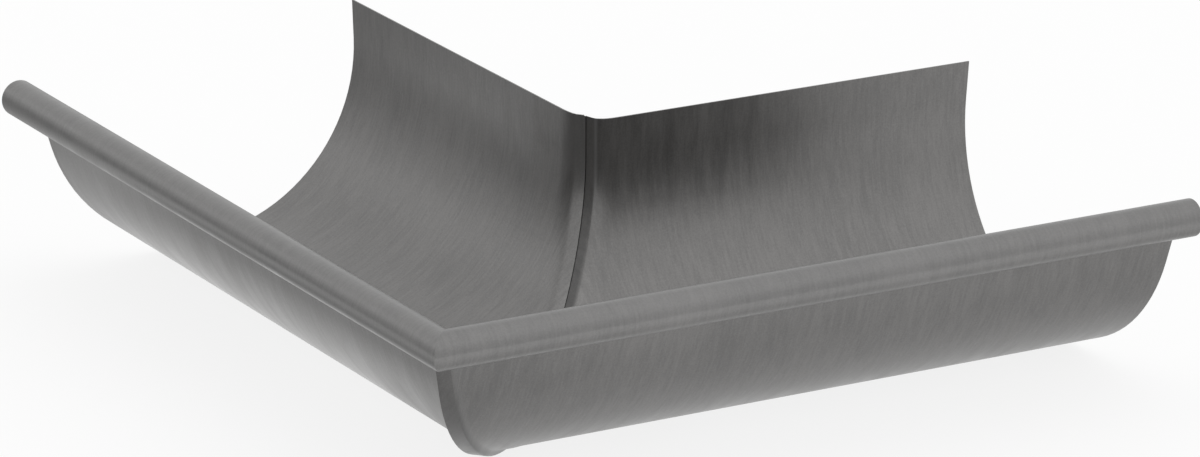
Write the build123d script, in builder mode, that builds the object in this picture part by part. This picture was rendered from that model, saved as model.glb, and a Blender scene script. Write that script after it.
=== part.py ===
from build123d import *

import os
from math import cos, radians, sin, sqrt

# Outside miter for a half-round zinc gutter: two beaded legs joined by a folded lock seam.
#
# Each leg is one roll-formed sheet: a half-round trough, a back wall that stands higher than the
# front, and a rolled bead along the front edge. The right leg lies along +X and the left leg along +Y.
# At the corner both sheets turn out of their half round into a band across the miter plane, where
# their hooked edges lock into each other on the outside of the trough. Solder fills the channel that
# the lock leaves inside, and is one body with the right sheet. The beads are mitred flush.
#
# Units are millimetres, +Z is up, and the origin is at the middle of the part's footprint.

# Sheet and profile of the gutter
sheet = 0.8
trough_radius = 96.0
front_lean_angle = 18.0
bead_diameter = 20.0
bead_wrap_angle = 330.0
back_rise = 28.0
back_lean_angle = 3.5

# Legs, from the point where the two bead axes cross to each open end
right_length = 448.0
left_length = 458.0

# Lock seam: its layers, then widths measured square to the miter plane, then its upper ends
seam_clearance = 0.35
lock_root = 3.7
flap_width = 2.2
hook_play = 0.5
joggle_gap = 3.5
joggle_run = 3.0
seam_below_bead = 2.0
seam_trim = 2.5
edge_trim = 0.3

# Solder that fills the channel between the lock and the right sheet, just below the left sheet
solder_depth = 0.4
solder_foot = 0.03

# How far the lock is set back from the sharp miter, at the front wall, the bottom and the back wall
front_set_back = 0.5
bottom_set_back = 5.0
back_set_back = 11.5

# The bend of the right sheet from the joggle to the straight leg
right_root_bottom = 3.5
right_root_back = 7.5
right_bend_run = 9.2

# The bend of the left sheet from the lock to the straight leg
left_lead = 1.0
left_lead_ease = 0.3
left_bend_run = 11.0

# Sizes that follow from these
bead_radius = bead_diameter / 2
bead_bore_radius = bead_radius - sheet
bead_offset = (trough_radius + bead_radius) / cos(radians(front_lean_angle))
outer_radius = trough_radius + sheet
layer = sheet + seam_clearance
seam_depth = trough_radius + 3 * layer + sheet
seam_below_axis = bead_radius + seam_below_bead
stretch = sqrt(2)

# Number of sections in a bend, and of steps in the joggle
bend_steps = 6
joggle_steps = 4

# Stations of the seam, to the right leg positive: folds, joggle and bends
left_fold = -lock_root - sheet
right_fold = left_fold - hook_play - flap_width
lock_edge = right_fold - sheet
left_lead_end = lock_edge - left_lead
left_bend = left_lead_end - left_bend_run
joggle_start = joggle_gap - lock_root
joggle_end = joggle_start + joggle_run
solder_start = -lock_root
right_bend = joggle_end + right_bend_run

# Directions at the corner: across the miter plane, and along it from front to back
across = Vector(1, -1, 0).normalized()
along = Vector(1, 1, 0).normalized()
corner = Vector(
    -(right_length - bead_radius) / 2,
    -(left_length - bead_radius) / 2,
    seam_depth,
)
right_end = Plane(corner + Vector(right_length, 0, 0), x_dir=(0, 1, 0), z_dir=(1, 0, 0))
left_end = Plane(corner + Vector(0, left_length, 0), x_dir=(1, 0, 0), z_dir=(0, -1, 0))


def miter_plane(distance):
    """Plane parallel to the miter plane: x runs from front to back, y is up."""
    return Plane(corner + across * distance, x_dir=along, z_dir=across)


def round_arc(centre, across_radius, drop, start, sweep):
    """Arc of the half round: circular square to the leg, elliptical where it is cut aslant."""
    if across_radius == drop:
        return CenterArc((centre, 0), drop, start, sweep)
    return EllipticalCenterArc((centre, 0), across_radius, drop, start, arc_size=sweep)


def sheet_outline(centre, inner, outer, front_top, back_tops):
    """Closed outline of a half-round sheet, given the radii (front, back, down) of its two faces.

    Each face is two quarter rounds that meet at the bottom. The walls leave them at a tangent,
    up to front_top in front and to the face's own height behind.
    """
    with BuildLine() as outline:
        tops = []
        for (front_radius, back_radius, drop), back_top in zip((inner, outer), back_tops):
            front_sweep = 90 - front_lean_angle
            front_round = round_arc(centre, front_radius, drop, 180 + front_lean_angle, front_sweep)
            back_round = round_arc(centre, back_radius, drop, 270, 90 + back_lean_angle)
            front_foot = front_round @ 0
            back_foot = back_round @ 1
            front_wall = PolarLine(
                front_foot,
                front_top - front_foot.Y,
                direction=(front_round % 0) * -1,
                length_mode=LengthMode.VERTICAL,
            )
            back_wall = PolarLine(
                back_foot,
                back_top - back_foot.Y,
                direction=back_round % 1,
                length_mode=LengthMode.VERTICAL,
            )
            tops.append((front_wall @ 1, back_wall @ 1))
        for inner_top, outer_top in zip(*tops):
            Line(inner_top, outer_top)
    return outline


def trough_profile(plane):
    """Section of a leg's half round, from the back edge to the foot of the bead."""
    inner = (trough_radius,) * 3
    outer = (outer_radius,) * 3
    with BuildSketch(plane) as profile:
        with BuildLine():
            add(sheet_outline(bead_offset, inner, outer, -seam_below_axis, (back_rise, back_rise)))
        make_face()
    return profile.sketch


def bead_profile(plane):
    """Section of a leg's front edge: the leaning wall and the bead rolled outwards from it."""
    lean = radians(front_lean_angle)
    slope = Vector(-sin(lean), cos(lean))
    with BuildSketch(plane) as profile:
        with BuildLine():
            ends = []
            for radius in (bead_radius, bead_bore_radius):
                roll = CenterArc((0, 0), radius, front_lean_angle, bead_wrap_angle)
                touch = roll @ 0
                foot = touch - slope * ((touch.Y + seam_below_axis) / slope.Y)
                Line(touch, foot)
                ends.append((foot, roll @ 1))
            for outer_end, inner_end in zip(*ends):
                Line(outer_end, inner_end)
        make_face()
    return profile.sketch


def miter_section(distance, set_back, inner, outer, front_trim=0.0, back_trims=(0.0, 0.0)):
    """A sheet's section in a plane parallel to the miter, with its bottom moved back by set_back."""
    centre = bead_offset * stretch + set_back
    front_top = -seam_below_axis - front_trim
    back_tops = [back_rise - back_trim for back_trim in back_trims]
    with BuildSketch(miter_plane(distance)) as section:
        with BuildLine():
            add(sheet_outline(centre, inner, outer, front_top, back_tops))
        make_face()
    return section.sketch


def band_radii(front, bottom, back, depth):
    """Radii of a face with these set-backs that lies depth outside the trough's inner face."""
    reach = trough_radius * stretch + depth
    return reach + bottom - front, reach + back - bottom, trough_radius + depth


def turned_shape(distance, bottom, back, aslant=0.0):
    """Set-back and radii of a leg's sheet near the seam, where its front wall stays aslant.

    The back wall is cut aslant as well where aslant is 1, and lies square to the miter where it is 0.
    """
    front = abs(distance)
    gain = sheet * (stretch - 1)
    inner = band_radii(front, bottom, back, 0)
    outer = band_radii(front - gain, bottom, back + gain * aslant, sheet)
    return bottom, inner, outer


def bend_sections(start, end, bottom, back, power):
    """Sections of a leg's sheet from the straight leg at start to these set-backs at end."""
    sections = []
    for step in range(bend_steps):
        share = 1 - step / (bend_steps - 1)
        turned = share**power
        shape = turned_shape(
            end + (start - end) * share,
            bottom + (abs(start) - bottom) * turned,
            back + (abs(start) - back) * turned,
            share,
        )
        sections.append(miter_section(end + (start - end) * share, *shape))
    return sections


def lock_radii(depth):
    """Radii of a face of the lock, whose layers lie square to the miter plane all round."""
    return band_radii(front_set_back, bottom_set_back, back_set_back, depth)


def lock_section(distance, inner, outer, inner_trim=seam_trim):
    """One layer of the lock, or a fold that joins two layers."""
    trims = seam_trim, (inner_trim, seam_trim)
    return miter_section(distance, bottom_set_back, inner, outer, *trims)


def between(first, second, share):
    """A value that lies this share of the way from first to second."""
    return first + (second - first) * share


def joggle_section(distance):
    """The right sheet where it dips outwards into the lock, with the solder that fills the dip.

    Its outer face dips in a gentle S. The solder's face runs straight down to the left sheet's edge.
    """
    filled = (joggle_end - distance) / (joggle_end - solder_start)
    share = min((joggle_end - distance) / joggle_run, 1)
    dipped = share * share * (3 - 2 * share)
    bottom = between(right_root_bottom, bottom_set_back, dipped)
    inner = band_radii(
        between(joggle_end, front_set_back, filled),
        bottom,
        between(right_root_back, back_set_back, filled),
        solder_depth * filled,
    )
    outer = band_radii(
        between(joggle_end - sheet * (stretch - 1), front_set_back, dipped),
        bottom,
        between(right_root_back, back_set_back, dipped),
        between(sheet, 3 * layer + sheet, dipped),
    )
    trims = seam_trim * dipped, (edge_trim * filled, seam_trim * dipped)
    return miter_section(distance, bottom, inner, outer, *trims)


# Faces of the lock's layers, from the trough outwards: right flap, left flap, right sheet
right_flap = lock_radii(layer), lock_radii(layer + sheet)
left_flap = lock_radii(2 * layer), lock_radii(2 * layer + sheet)
right_sheet = lock_radii(3 * layer), lock_radii(3 * layer + sheet)

# Right leg: its sheet dips out of the trough at the seam, passes under the left sheet and hooks back
with BuildPart() as right_leg:
    extrude(trough_profile(right_end), amount=-right_length)
    split(bisect_by=miter_plane(right_bend), keep=Keep.TOP)
    extrude(bead_profile(right_end), amount=-right_length - bead_radius)
    split(bisect_by=miter_plane(0), keep=Keep.TOP)
    dip = [
        *bend_sections(right_bend, joggle_end, right_root_bottom, right_root_back, 2),
        *(
            joggle_section(joggle_end - joggle_run * step / joggle_steps)
            for step in range(1, joggle_steps + 1)
        ),
        joggle_section(solder_start + solder_foot),
        lock_section(solder_start, *right_sheet),
        lock_section(right_fold, *right_sheet),
    ]
    loft(dip, ruled=True)
    extrude(lock_section(right_fold, right_flap[0], right_sheet[1]), amount=-sheet)
    extrude(lock_section(right_fold, *right_flap), amount=flap_width)

# Left leg: its sheet runs on to the corner and hooks round the right sheet's folded edge
with BuildPart() as left_leg:
    extrude(trough_profile(left_end), amount=left_length)
    split(bisect_by=miter_plane(left_bend), keep=Keep.BOTTOM)
    extrude(bead_profile(left_end), amount=left_length + bead_radius)
    split(bisect_by=miter_plane(0), keep=Keep.BOTTOM)
    lead_back = back_set_back + left_lead_ease
    turn = [
        *bend_sections(left_bend, left_lead_end, bottom_set_back, lead_back, 4 / 3),
        miter_section(left_fold, *turned_shape(left_fold, bottom_set_back, back_set_back)),
    ]
    loft(turn, ruled=True)
    left_face = band_radii(-left_fold, bottom_set_back, back_set_back, 0)
    extrude(lock_section(left_fold, left_face, left_flap[1], edge_trim), amount=sheet)
    extrude(lock_section(left_fold, *left_flap), amount=-flap_width)

os.makedirs("parts", exist_ok=True)
right_leg.part.label = "right_leg"
export_step(right_leg.part, "parts/right_leg.step")
left_leg.part.label = "left_leg"
export_step(left_leg.part, "parts/left_leg.step")
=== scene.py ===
# %% [markdown]
# # An outside miter for a half-round gutter
# The piece turns a zinc gutter round the outside corner of a roof. Two short lengths of gutter, each
# a half round with a high back wall and a rolled bead in front, are cut at 45 degrees and joined by
# a folded lock seam. The CAD model of the two sheets is loaded here as a fixed frame. Blender adds
# what makes them look like zinc in a studio: the photographer's camera, eased edges, the finish, the
# light and the paper that the part stands on.

# %% Load the frame
from math import cos, radians, sin

import bpy
from mathutils import Matrix, Vector


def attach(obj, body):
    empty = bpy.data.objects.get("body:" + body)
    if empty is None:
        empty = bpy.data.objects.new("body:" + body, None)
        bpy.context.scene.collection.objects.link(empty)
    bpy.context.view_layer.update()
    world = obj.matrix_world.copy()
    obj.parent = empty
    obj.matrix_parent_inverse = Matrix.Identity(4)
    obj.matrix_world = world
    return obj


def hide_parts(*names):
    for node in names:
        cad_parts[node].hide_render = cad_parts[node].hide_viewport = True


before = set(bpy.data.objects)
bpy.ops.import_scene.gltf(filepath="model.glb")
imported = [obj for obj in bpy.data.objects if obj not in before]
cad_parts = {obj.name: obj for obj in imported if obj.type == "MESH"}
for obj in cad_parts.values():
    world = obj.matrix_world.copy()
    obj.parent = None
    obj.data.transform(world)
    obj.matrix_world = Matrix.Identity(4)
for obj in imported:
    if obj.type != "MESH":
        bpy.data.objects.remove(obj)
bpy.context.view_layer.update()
bpy.ops.object.select_all(action="DESELECT")
right_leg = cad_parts["right_leg"]
left_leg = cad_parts["left_leg"]
print("legs:", right_leg.name, left_leg.name)

# %% [markdown]
# ## The camera
# The photographer stood well back with a long lens, so the legs hardly narrow towards their ends. A
# camera can be set by eye, but here it was solved from the straight edges of the sheet: how far it
# is turned, tilted and rolled (in radians), how far it stands from the corner of the beads (in
# metres), and where that corner falls in the picture.

# %% Camera
picture_width, picture_height = 1200, 457
sensor_width = 36
focal_pixels = 6553.8
turn, tilt, roll = 1.0165, 0.3225, 0.0259
distance = 3.1716
bead_corner = Vector((-0.219, -0.224, 0.10025))
corner_pixel = (442.14, 350.47)

looking = Vector((cos(tilt) * cos(turn), cos(tilt) * sin(turn), -sin(tilt)))
level = Vector((sin(turn), -cos(turn), 0))
upright = level.cross(looking)
rightward = level * cos(roll) + upright * sin(roll)
upward = upright * cos(roll) - level * sin(roll)
shift_right = (corner_pixel[0] - picture_width / 2) / focal_pixels * distance
shift_up = (picture_height / 2 - corner_pixel[1]) / focal_pixels * distance
place = bead_corner - looking * distance - rightward * shift_right - upward * shift_up

bpy.ops.object.camera_add()
camera = bpy.context.object
camera.name = "photo_camera"
camera.data.sensor_fit = "HORIZONTAL"
camera.data.sensor_width = sensor_width
camera.data.lens = focal_pixels * sensor_width / picture_width
axes = Matrix((rightward, upward, -looking)).transposed().to_4x4()
camera.matrix_world = Matrix.Translation(place) @ axes
bpy.context.scene.camera = camera
print("camera at", [round(x, 3) for x in place], "lens", round(camera.data.lens, 1))

# %% [markdown]
# ## The two sheets
# Each leg is one strip of zinc, bent to a half round with a bead rolled along its front edge. At the
# corner its edge is hooked into the other sheet. The CAD model has all of this, but as loose
# triangles with knife-sharp edges, and each bend next to the seam is shaded on its own. Drawing the
# sheets again would risk a different shape, so each is copied, and the copy is worked over as by
# hand. Its points are merged into one skin, and its triangles are joined into quads along the bends.
# Every edge sharper than a bend is eased by 0.07 mm, as a shear and a folding bar leave it. Weighted
# normals keep the walls flat up to the bend.

# %% Merge and ease the sheets
merge_distance = 0.00001
eased_edge = 0.00007
flat_angle = radians(8)
sharp_angle = radians(40)
any_shape = radians(180)


def work_over(node, name):
    """A copy of a leg as one skin with eased edges, which then stands for the leg."""
    bpy.ops.object.select_all(action="DESELECT")
    piece = bpy.data.objects.new(name, node.data.copy())
    bpy.context.collection.objects.link(piece)
    bpy.context.view_layer.objects.active = piece
    piece.select_set(True)
    bpy.ops.object.mode_set(mode="EDIT")
    bpy.ops.mesh.select_all(action="SELECT")
    bpy.ops.mesh.remove_doubles(threshold=merge_distance)
    bpy.ops.mesh.customdata_custom_splitnormals_clear()
    bpy.ops.mesh.tris_convert_to_quads(face_threshold=flat_angle, shape_threshold=any_shape)
    bpy.ops.object.mode_set(mode="OBJECT")
    ease = piece.modifiers.new("eased_edges", "BEVEL")
    ease.limit_method = "ANGLE"
    ease.angle_limit = sharp_angle
    ease.width = eased_edge
    ease.segments = 2
    bpy.ops.object.modifier_apply(modifier=ease.name)
    bpy.ops.object.shade_smooth_by_angle(angle=sharp_angle)
    walls = piece.modifiers.new("flat_walls", "WEIGHTED_NORMAL")
    walls.keep_sharp = True
    bpy.ops.object.modifier_apply(modifier=walls.name)
    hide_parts(node.name)
    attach(piece, "root")
    print(name, "has", len(piece.data.vertices), "points and", len(piece.data.polygons), "faces")
    return piece


right_sheet = work_over(right_leg, "right_sheet")
left_sheet = work_over(left_leg, "left_sheet")

# %% [markdown]
# ## Writing a finish as arithmetic
# A material is a web of nodes, and most of them only add, multiply or compare. Wiring them by hand
# hides what is meant. This small class holds one output of the web. Sums written with it add the
# Math nodes, and its `node` method adds any other node from its type, its settings and what goes
# into its sockets. `within` and `between` turn a measure into a soft mask.

# %% A value inside a material


class Shade:
    """One output of a material's nodes. Arithmetic on it adds Math nodes."""

    def __init__(self, tree, socket=None):
        self.tree = tree
        self.socket = socket

    def node(self, kind, settings=None, sockets=None, output=0):
        made = self.tree.nodes.new(kind)
        for name, value in (settings or {}).items():
            setattr(made, name, value)
        for name, value in (sockets or {}).items():
            if isinstance(value, Shade):
                self.tree.links.new(value.socket, made.inputs[name])
            else:
                made.inputs[name].default_value = value
        return Shade(self.tree, made.outputs[output] if made.outputs else None)

    def math(self, operation, first, second=0.0):
        return self.node("ShaderNodeMath", {"operation": operation}, {0: first, 1: second})

    def vector(self, operation, other=(0, 0, 0), output="Vector"):
        settings = {"operation": operation}
        return self.node("ShaderNodeVectorMath", settings, {0: self, 1: other}, output)

    def __add__(self, other):
        return self.math("ADD", self, other)

    def __radd__(self, other):
        return self.math("ADD", other, self)

    def __sub__(self, other):
        return self.math("SUBTRACT", self, other)

    def __rsub__(self, other):
        return self.math("SUBTRACT", other, self)

    def __mul__(self, other):
        return self.math("MULTIPLY", self, other)

    def __rmul__(self, other):
        return self.math("MULTIPLY", other, self)

    def within(self, low, high):
        """How far the value has gone from low to high, eased and kept between 0 and 1."""
        settings = {"interpolation_type": "SMOOTHSTEP"}
        sockets = {"Value": self, "From Min": low, "From Max": high}
        return self.node("ShaderNodeMapRange", settings, sockets)

    def between(self, fade_in, fade_out):
        """1 between two fades, and 0 outside them."""
        return self.within(*fade_in) * (1 - self.within(*fade_out))


def emptied_web(tree):
    """A start for a new web of nodes, in place of those that Blender gives."""
    tree.nodes.clear()
    return Shade(tree)


print("a value inside a material is ready")

# %% [markdown]
# ## Pre-weathered zinc
# The sheet is zinc that was pickled grey at the mill. Pickling leaves a fine brushed grain along the
# strip, and on the finished gutter that grain runs round the half round. Over it lies a cloudy
# bloom, with darker strokes where rollers and hands wiped it. An image could be wrapped round the
# sheet, but noise needs no unwrapping and has no edge: a fine noise drawn out along the grain, a
# speck for the crystals, tilted strokes and a soft large bloom. The strokes and the bloom also change
# the roughness, and the grain lifts the surface by a hair, so that a reflection breaks up along it.

# %% The greys of zinc


def grey(value, warmth=0.0):
    """A grey with a little warmth, or a little blue where warmth is negative."""
    return (value * (1 + warmth), value, value * (1 - warmth), 1.0)


zinc_dark = grey(0.147, 0.014)
zinc_light = grey(0.220, 0.02)
stained = grey(0.02)
# A light grey for painted highlights: on the ridge and the bend beside the seam, and on the bead's
# top.
painted_highlight_grey = grey(0.3)


def clouds(web, place, stretch, scale, detail, roughness, tilt=0.0):
    """Noise about 0, drawn out in the directions in which stretch is small."""
    sockets = {"Vector": place, "Scale": stretch, "Rotation": (0, tilt, 0)}
    drawn_out = web.node("ShaderNodeMapping", {}, sockets)
    sockets = {"Vector": drawn_out, "Scale": scale, "Detail": detail, "Roughness": roughness}
    return web.node("ShaderNodeTexNoise", {}, sockets) - 0.5


print("zinc from", zinc_dark[:3], "to", zinc_light[:3])

# %% [markdown]
# ## Marks of the making, and painted highlights
# Flux stains the solder beside the seam. Three marks are painted highlights: the ridge beside the
# seam and the bend next to it are painted lighter, and so is the top of the bead. Such marks could be
# painted on by hand, but each has a plain place: so far across the miter, so high, or so near to the
# bead's axis. So each is a mask from the point's own position, and fades at its edges.

# %% Zinc
across_miter = (0.5**0.5, -(0.5**0.5), 0)
bead_rim = (0.0100, 0.0112)
bead_crown = (0.093, 0.101)
# How strongly the top of the bead is painted lighter: a painted highlight.
painted_crown_highlight = 0.22


def zinc(name, leg_turn, leg_section, marks):
    """Grey zinc whose grain runs round a leg. leg_turn turns the leg's length onto the X axis.

    leg_section keeps the two directions square to the leg. A mark beside the seam is its colour and
    strength, and where it fades in and out across the miter plane and in height.
    """
    material = bpy.data.materials.new(name)
    material.use_nodes = True
    web = emptied_web(material.node_tree)
    where = web.node("ShaderNodeTexCoord", output="Object")
    along = web.node("ShaderNodeMapping", {}, {"Vector": where, "Rotation": (0, 0, leg_turn)})
    grain = clouds(web, along, (1, 0.11, 0.11), 640, 3, 0.6)
    speck = clouds(web, along, (1, 1, 1), 1100, 1, 0.5)
    strokes = clouds(web, along, (1, 0.22, 0.16), 130, 2, 0.55, radians(12))
    bloom = clouds(web, along, (1, 0.5, 0.5), 16, 3, 0.55)

    from_corner = where.vector("SUBTRACT", bead_corner)
    across = from_corner.vector("DOT_PRODUCT", across_miter, "Value")
    from_axis = from_corner.vector("MULTIPLY", leg_section).vector("LENGTH", output="Value")
    bead = 1 - from_axis.within(*bead_rim)
    height = web.node("ShaderNodeSeparateXYZ", {}, {0: where}, "Z")

    def mix(share, first, second):
        return web.node("ShaderNodeMix", {"data_type": "RGBA"}, {0: share, 6: first, 7: second}, 2)

    tone = 0.5 + 0.75 * grain + 0.6 * speck + 0.6 * strokes + 0.6 * bloom
    colour = mix(tone.within(0.0, 1.0), zinc_dark, zinc_light)
    # Each mark is either the flux stain or a painted highlight beside the seam.
    for mark in marks:
        beside = across.between(*mark["across"]) * height.between(*mark["height"])
        colour = mix(mark["strength"] * beside * (1 - bead), colour, mark["colour"])
    # Painted highlight: the upper part of the bead is mixed towards the light grey.
    colour = mix(painted_crown_highlight * bead * height.within(*bead_crown), colour, painted_highlight_grey)

    bump = web.node("ShaderNodeBump", {}, {"Strength": 0.18, "Distance": 0.0002, "Height": grain})
    sockets = {"Base Color": colour, "Metallic": 1.0, "Normal": bump}
    sockets["Roughness"] = 0.36 + 0.22 * strokes + 0.16 * bloom
    sockets.update({"Coat Weight": 0.2, "Coat Roughness": 0.3})
    surface = web.node("ShaderNodeBsdfPrincipled", {}, sockets)
    web.node("ShaderNodeOutputMaterial", {}, {"Surface": surface})
    return material


# Between these heights the bead carries a painted highlight.
print("zinc with a bead polished between", bead_crown, "m")

# %% The flux stain and the painted highlights beside the seam, and zinc on both sheets
below_part = (-0.02, -0.01)
above_part = (0.2, 0.3)
flux_stain = {
    "colour": stained,
    "strength": 0.48,
    "across": ((-0.03, -0.02), (0.0002, 0.0028)),
    "height": (below_part, (0.03, 0.1)),
}
# Painted highlight: a thin light line along the ridge beside the seam on the right sheet, in its
# upper part.
painted_ridge_highlight = {
    "colour": painted_highlight_grey,
    "strength": 0.6,
    "across": ((0.0012, 0.0024), (0.0028, 0.0045)),
    "height": ((0.075, 0.1), above_part),
}
# Painted highlight: the left sheet's bend beside the seam is painted lighter near its top.
painted_bend_highlight = {
    "colour": painted_highlight_grey,
    "strength": 0.4,
    "across": ((-0.022, -0.014), (0.0, 0.001)),
    "height": ((0.085, 0.105), above_part),
}
zinc_right = zinc("zinc_right", 0.0, (0, 1, 1), [flux_stain, painted_ridge_highlight])
zinc_left = zinc("zinc_left", radians(-90), (1, 0, 1), [painted_bend_highlight])
right_sheet.material_slots[0].material = zinc_right
left_sheet.material_slots[0].material = zinc_left
print("zinc on", right_sheet.name, "and", left_sheet.name)

# %% [markdown]
# ## The light tent
# Metal shows what stands round it. Sheet metal is photographed in a tent of white cloth: a face that
# is turned to the lens then shows the metal's own grey, and a face seen edge-on brightens towards
# white. Area lamps would show in the metal as squares with hard edges, so the world is the tent. Its
# cloth is brighter overhead, to the right and low on the left, where lamps stand behind it, and
# darker beside the left leg. Each patch is a smooth bump about one direction. The camera itself sees
# plain white.

# %% The tent
world = bpy.data.worlds.new("light_tent")
bpy.context.scene.world = world
world.use_nodes = True
web = emptied_web(world.node_tree)
direction = web.node("ShaderNodeTexCoord", output="Generated")


def patch(towards, narrow):
    """How squarely a direction points at a patch of the tent, 1 at its middle."""
    facing = direction.vector("DOT_PRODUCT", Vector(towards).normalized(), "Value")
    return web.math("EXPONENT", narrow * (facing - 1))


def seen_white(web, value):
    """The value for light and mirrors, and white for the camera."""
    seen = web.node("ShaderNodeLightPath", output="Is Camera Ray")
    shown = value + seen * (1 - value)
    return web.node("ShaderNodeCombineColor", {}, {"Red": shown, "Green": shown, "Blue": shown})


over = 0.4 * patch((0, 0, 1), 8)
lamp_right = 0.2 * patch((0.5, -0.6, 0.62), 12)
lamp_left = 0.5 * patch((-0.5, 0.8, 0.36), 60)
dark_left = 0.4 * patch((-0.85, 0.527, 0.21), 8)
cloth = 0.91 + over + lamp_right + lamp_left - dark_left
tent = seen_white(web, cloth)
light = web.node("ShaderNodeBackground", {}, {"Color": tent, "Strength": 1.0})
web.node("ShaderNodeOutputWorld", {}, {"Surface": light})
print("a tent of white cloth")

# %% [markdown]
# ## The paper
# The part stands on a sheet of white paper, and the lower half of the metal mirrors it. White paint
# alone would render a light grey here, because it only passes on what falls on it. So the camera sees
# mostly a glow of the paper's own, and a share of matt paper that takes the soft shadow. Mirrored in
# the metal, the glow is uneven, as paper under lamps is: brighter in front of the right leg and under
# the left one, darker at the far end and along the left leg's bead.

# %% The paper
paper_size = 14
bpy.ops.mesh.primitive_plane_add(size=paper_size)
floor = bpy.context.object
floor.name = "floor"
paper = bpy.data.materials.new("white_paper")
paper.use_nodes = True
web = emptied_web(paper.node_tree)
on_paper = web.node("ShaderNodeTexCoord", output="Object")
width = web.node("ShaderNodeSeparateXYZ", {}, {0: on_paper}, "X")
depth = web.node("ShaderNodeSeparateXYZ", {}, {0: on_paper}, "Y")
lamp_side = depth.between((-0.72, -0.5), (-0.34, -0.23))
far_side = depth.within(0.26, 0.5)
left_side = width.between((-0.34, -0.27), (-0.25, -0.215))
left_side = left_side * depth.between((-0.28, -0.14), (0.15, 0.3))
under = width.between((-0.22, -0.16), (-0.1, 0.0))
under = under * depth.between((-0.12, -0.02), (0.2, 0.28))
glow = 0.86 + 0.28 * lamp_side - 0.37 * far_side - 0.42 * left_side + 0.3 * under
print("the glow of the paper, with", len(paper.node_tree.nodes), "nodes")

# %% What the paper shows to the camera, to mirrors and to the light
camera_share = 0.84
seen = web.node("ShaderNodeLightPath", output="Is Camera Ray")
mirrored = web.node("ShaderNodeLightPath", output="Is Glossy Ray")
clear = web.node("ShaderNodeLightPath", output="Is Transmission Ray")
matt = web.node("ShaderNodeBsdfDiffuse", {}, {"Color": grey(0.92)})
white = web.node("ShaderNodeEmission", {}, {"Color": seen_white(web, glow), "Strength": 1.0})
share = camera_share * seen + mirrored + clear
lit = web.node("ShaderNodeMixShader", {}, {0: share, 1: matt, 2: white})
web.node("ShaderNodeOutputMaterial", {}, {"Surface": lit})
floor.data.materials.append(paper)
print("white paper,", paper_size, "m wide")

# %% [markdown]
# ## The view transform
# The view transform is plain, so that a grey renders as the grey it was given.

# %% Finish
bpy.context.scene.view_settings.view_transform = "Standard"
